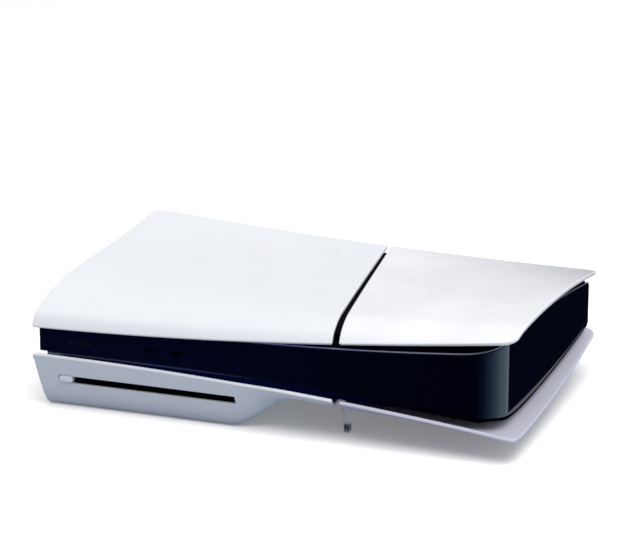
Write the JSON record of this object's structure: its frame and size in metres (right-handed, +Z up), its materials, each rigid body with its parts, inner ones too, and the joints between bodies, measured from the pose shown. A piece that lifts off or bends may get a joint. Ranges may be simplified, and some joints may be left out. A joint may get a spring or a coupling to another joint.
{
  "type": "game console",
  "caption": "Slim home game console lying flat on clear feet: wavy white cover panels over a glossy black body, disc slot with bulged drive cover, blower, heatsink and rear sockets.",
  "frame": {"origin": "on the surface the console rests on, under the middle of its length and depth", "axes": "+X along the length, towards the end away from the disc drive; +Y to the rear, where the sockets are; +Z up"},
  "size_m": [0.3578, 0.2159, 0.0958],
  "materials": {
    "white_panel": "satin white",
    "gloss_black": "polished black",
    "satin_black": "satin black",
    "light_guide": "tinted light guide",
    "button_white": "satin white",
    "button_black": "polished black",
    "socket_steel": "plated sheet",
    "socket_black": "moulded black",
    "clear_plastic": "clear plastic",
    "fan_black": "moulded black",
    "aluminium_fins": "mill",
    "copper": "bright copper",
    "zinc_sheet": "galvanised sheet",
    "board_green": "solder mask",
    "chip_black": "moulded black",
    "screw_steel": "zinc plated",
    "rubber": "ground rubber",
    "lens_glass": "coated lens"
  },
  "bodies": {
    "console": {"bottom_right_panel": "white_panel", "clock_cell": "screw_steel", "drive_cover": "white_panel", "drive_lid": "zinc_sheet", "drive_tray": "zinc_sheet", "fan_housing": "fan_black", "fan_spider": "zinc_sheet", "front_fascia": "gloss_black", "front_foot": "clear_plastic", "guide_rod_left": "screw_steel", "guide_rod_right": "screw_steel", "hdmi_port": "socket_steel", "heat_pipe_1": "copper", "heat_pipe_2": "copper", "heat_pipe_3": "copper", "heatsink": "aluminium_fins", "lan_port": "socket_steel", "left_end_cap": "satin_black", "lower_light_guide": "light_guide", "lower_shell": "satin_black", "lower_shield": "zinc_sheet", "main_board": "board_green", "power_inlet": "socket_black", "power_supply": "chip_black", "processor": "chip_black", "rear_foot": "clear_plastic", "rear_grille": "satin_black", "rear_port_plate": "satin_black", "shell_screw_1": "screw_steel", "shell_screw_2": "screw_steel", "shell_screw_3": "screw_steel", "shell_screw_4": "screw_steel", "sled_motor": "screw_steel", "spindle_motor": "screw_steel", "ssd_cover": "zinc_sheet", "ssd_cover_screw": "screw_steel", "ssd_module": "board_green", "ssd_tray": "zinc_sheet", "upper_light_guide": "light_guide", "upper_shell": "satin_black", "upper_shield": "zinc_sheet", "upper_slit_liner": "satin_black", "usb_a_port_left": "socket_steel", "usb_a_port_right": "socket_steel", "usb_c_port_left": "socket_steel", "usb_c_port_right": "socket_steel", "wireless_board": "board_green"},
    "power_button_body": {"power_button": "button_black"},
    "eject_button_body": {"eject_button": "button_white"},
    "fan_rotor_body": {"fan_rotor": "fan_black"},
    "feed_roller_body": {"feed_roller": "rubber"},
    "spindle_body": {"spindle_hub": "chip_black"},
    "sled_body": {"pickup_sled": "chip_black", "pickup_lens": "lens_glass"},
    "lead_screw_body": {"lead_screw": "screw_steel"},
    "left_cover_body": {"top_left_panel": "white_panel"},
    "right_cover_body": {"top_right_panel": "white_panel"}
  },
  "joints": [
    {"name": "power_press", "type": "slide", "parent": "console", "child": "power_button_body", "axis": [0, 1, 0], "range_m": [0, 0.0005], "stiffness_N_per_m": 600, "springref_m": -0.0005},
    {"name": "eject_press", "type": "slide", "parent": "console", "child": "eject_button_body", "axis": [0, 1, 0], "range_m": [0, 0.0006], "stiffness_N_per_m": 600, "springref_m": -0.0005},
    {"name": "fan_spin", "type": "hinge", "parent": "console", "child": "fan_rotor_body", "pos_m": [0.095, -0.014, 0.056], "axis": [0, 0, 1], "continuous": true},
    {"name": "feed_roller_spin", "type": "hinge", "parent": "console", "child": "feed_roller_body", "pos_m": [-0.0884, -0.078, 0.0187], "axis": [1, 0, 0], "continuous": true},
    {"name": "spindle_spin", "type": "hinge", "parent": "console", "child": "spindle_body", "pos_m": [-0.0884, -0.018, 0.0187], "axis": [0, 0, 1], "continuous": true},
    {"name": "sled_slide", "type": "slide", "parent": "console", "child": "sled_body", "axis": [0, 1, 0], "range_m": [0, 0.034]},
    {"name": "lead_screw_spin", "type": "hinge", "parent": "console", "child": "lead_screw_body", "pos_m": [-0.0604, 0.018, 0.013], "axis": [0, 1, 0], "range_deg": [-5, 4090]},
    {"name": "left_cover_lift", "type": "slide", "parent": "console", "child": "left_cover_body", "axis": [0, 0, 1], "range_m": [0, 0.03]},
    {"name": "right_cover_lift", "type": "slide", "parent": "console", "child": "right_cover_body", "axis": [0, 0, 1], "range_m": [0, 0.03]}
  ],
  "couplings": [
    {"joint": "lead_screw_spin", "follows": "sled_slide", "rad_per_m": 2094.4}
  ]
}
